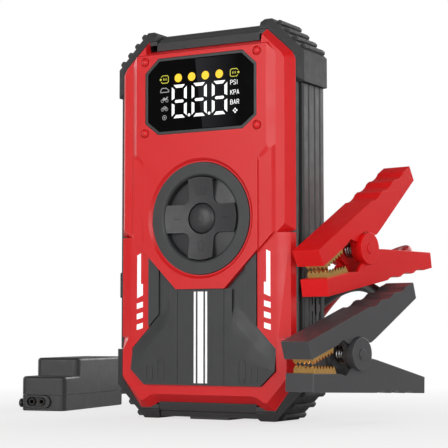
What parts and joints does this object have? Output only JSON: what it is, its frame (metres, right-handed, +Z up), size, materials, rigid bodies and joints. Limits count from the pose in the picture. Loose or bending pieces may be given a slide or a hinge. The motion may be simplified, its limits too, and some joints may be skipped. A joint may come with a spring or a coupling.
{
  "type": "jump starter pack",
  "caption": "Upright car jump starter pack with a display, round key pad, built-in tyre pump and corner bumpers, and its clamp module with red and black battery clamps on stiff leads.",
  "frame": {"origin": "centre of the pack's underside, on the surface it stands on", "axes": "+Z up, -Y out of the front with the display and keys, +X to the right side seen from the front"},
  "size_m": [0.2683, 0.2445, 0.22],
  "materials": {
    "red_cover": "satin moulded red plastic",
    "dark_plastic": "dark grey fine-grained plastic",
    "bezel_plastic": "near-black plastic",
    "black_rubber": "dark soft moulded rubber",
    "screen_glass": "tinted glossy display window",
    "lamp_glass": "clear lamp window",
    "screw_steel": "plated steel",
    "board_green": "green circuit board with its components",
    "display_body": "pale display body",
    "cell_wrap": "silver pouch foil",
    "motor_steel": "bare steel",
    "nylon": "pale nylon",
    "pump_aluminium": "cast aluminium",
    "clamp_red_plastic": "glossy red plastic",
    "clamp_black_plastic": "glossy black plastic",
    "copper": "copper-plated",
    "lead_red_sleeve": "red flexible insulation",
    "lead_black_sleeve": "black flexible insulation"
  },
  "bodies": {
    "pack": {"air_outlet": "pump_aluminium", "battery_cells": "cell_wrap", "bottom_rail": "dark_plastic", "bumper_bottom_left": "black_rubber", "bumper_bottom_right": "black_rubber", "bumper_top_left": "black_rubber", "bumper_top_right": "black_rubber", "button_ring": "dark_plastic", "clamp_black_upper": "clamp_black_plastic", "clamp_pins": "screw_steel", "clamp_red_lower": "clamp_red_plastic", "clamp_springs": "screw_steel", "cover_screw_caps": "screw_steel", "display_bezel": "bezel_plastic", "display_board": "board_green", "display_lens": "screen_glass", "display_module": "display_body", "ec5_socket": "bezel_plastic", "front_cover": "red_cover", "housing": "dark_plastic", "jaw_black_upper": "copper", "jaw_red_lower": "copper", "key_board": "board_green", "lamp_board": "board_green", "lamp_lens": "lamp_glass", "lead_black": "lead_black_sleeve", "lead_grommets": "black_rubber", "lead_red": "lead_red_sleeve", "lower_panel": "dark_plastic", "main_board": "board_green", "module_base": "dark_plastic", "module_board": "board_green", "module_cover": "dark_plastic", "module_knob": "dark_plastic", "module_plug": "bezel_plastic", "module_screws": "screw_steel", "plug_contacts": "copper", "pump_cylinder": "pump_aluminium", "pump_frame": "motor_steel", "pump_head": "pump_aluminium", "pump_motor": "motor_steel", "rear_cover": "dark_plastic", "rear_screws": "screw_steel", "side_rail_left_high": "dark_plastic", "side_rail_left_low": "dark_plastic", "side_rail_right": "dark_plastic", "tact_switches": "board_green", "top_rail": "dark_plastic", "usb_board": "board_green"},
    "power": {"power_button": "bezel_plastic"},
    "keypad": {"keypad_membrane": "black_rubber"},
    "rocker": {"rocker_key": "dark_plastic"},
    "flap": {"port_flap": "black_rubber"},
    "gear": {"drive_gear": "nylon"},
    "pinion": {"pinion": "motor_steel"},
    "piston": {"piston": "pump_aluminium"},
    "red_jaw": {"clamp_red_upper": "clamp_red_plastic", "jaw_red_upper": "copper"},
    "black_jaw": {"clamp_black_lower": "clamp_black_plastic", "jaw_black_lower": "copper"}
  },
  "joints": [
    {"name": "power_press", "type": "slide", "parent": "pack", "child": "power", "axis": [0, 1, 0], "range_m": [0, 0.0007], "stiffness_N_per_m": 800},
    {"name": "keypad_tilt_x", "type": "hinge", "parent": "pack", "child": "keypad", "pos_m": [0, -0.0172, 0.1109], "axis": [1, 0, 0], "range_deg": [-1, 1], "stiffness_Nm_per_rad": 0.2},
    {"name": "rocker_tilt_z", "type": "hinge", "parent": "keypad", "child": "rocker", "pos_m": [0, -0.0172, 0.1109], "axis": [0, 0, 1], "range_deg": [-1, 1], "stiffness_Nm_per_rad": 0.2},
    {"name": "flap_hinge", "type": "hinge", "parent": "pack", "child": "flap", "pos_m": [-0.0572, 0.013, 0.0675], "axis": [0, 0, -1], "range_deg": [0, 110]},
    {"name": "gear_spin", "type": "hinge", "parent": "pack", "child": "gear", "pos_m": [0.006, -0.004, 0.14], "axis": [0, 1, 0], "continuous": true},
    {"name": "pinion_spin", "type": "hinge", "parent": "pack", "child": "pinion", "pos_m": [-0.016, -0.004, 0.14], "axis": [0, 1, 0], "continuous": true},
    {"name": "piston_slide", "type": "slide", "parent": "pack", "child": "piston", "axis": [0, 0, 1], "range_m": [-0.012, 0]},
    {"name": "red_clamp_hinge", "type": "hinge", "parent": "pack", "child": "red_jaw", "pos_m": [0.0755, 0.0149, 0.0934], "axis": [-0.9863, 0.165, 0], "range_deg": [0, 24], "stiffness_Nm_per_rad": 0.6, "springref_deg": -28.65},
    {"name": "black_clamp_hinge", "type": "hinge", "parent": "pack", "child": "black_jaw", "pos_m": [0.0846, -0.0157, 0.0368], "axis": [0.9863, -0.165, 0], "range_deg": [0, 24], "stiffness_Nm_per_rad": 0.6, "springref_deg": -28.65}
  ],
  "couplings": [
    {"joint": "pinion_spin", "follows": "gear_spin", "ratio": -4.5}
  ]
}
